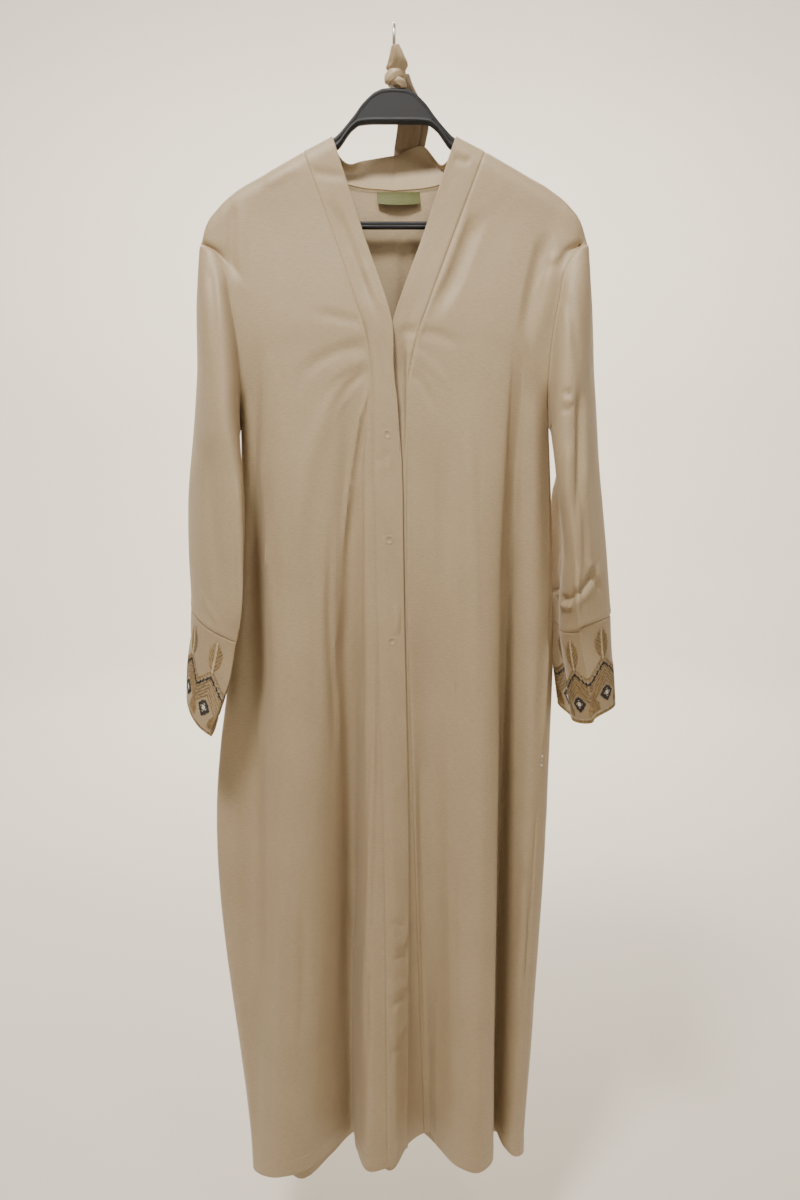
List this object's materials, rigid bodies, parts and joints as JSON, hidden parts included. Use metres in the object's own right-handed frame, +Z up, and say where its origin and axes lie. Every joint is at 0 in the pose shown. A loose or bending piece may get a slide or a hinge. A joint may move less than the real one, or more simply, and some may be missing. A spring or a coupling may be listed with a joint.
{
  "type": "abaya cloak on a clothes hanger",
  "caption": "Long open-necked abaya cloak with set-in sleeves, embroidered cuffs and a snapped placket, hanging on a flat clothes hanger with its own belt knotted round the hook.",
  "frame": {"origin": "the top of the inside of the hanger's hook, where it rests on a rail", "axes": "+Z up, along the hook's shank; -Y out of the garment's front; +X towards the wearer's left"},
  "size_m": [0.5784, 0.1605, 1.5585],
  "materials": {
    "abaya_cloth": "satin-faced crepe, soft sheen, matt back",
    "cuff_cloth": "satin-faced crepe carrying raised embroidery",
    "cuff_piping": "shiny corded binding",
    "label_satin": "satin weave, plain",
    "hanger_plastic": "matt moulded",
    "hook_wire": "drawn wire, satin",
    "snap_metal": "painted to match the cloth"
  },
  "bodies": {
    "root": {"back_panel": "abaya_cloth", "front_panel_right": "abaya_cloth", "front_panel_left": "abaya_cloth", "neckband_right": "abaya_cloth", "neckband_left": "abaya_cloth", "sleeve_right": "abaya_cloth", "sleeve_left": "abaya_cloth", "cuff_right": "cuff_cloth", "cuff_left": "cuff_cloth", "cuff_binding_right": "cuff_piping", "cuff_binding_left": "cuff_piping", "snap_1": "snap_metal", "snap_2": "snap_metal", "snap_3": "snap_metal", "neck_label": "label_satin", "belt_knot": "abaya_cloth", "belt_tail_a": "abaya_cloth", "belt_tail_b": "abaya_cloth", "hanger_body": "hanger_plastic", "hanger_hook": "hook_wire"}
  },
  "joints": []
}
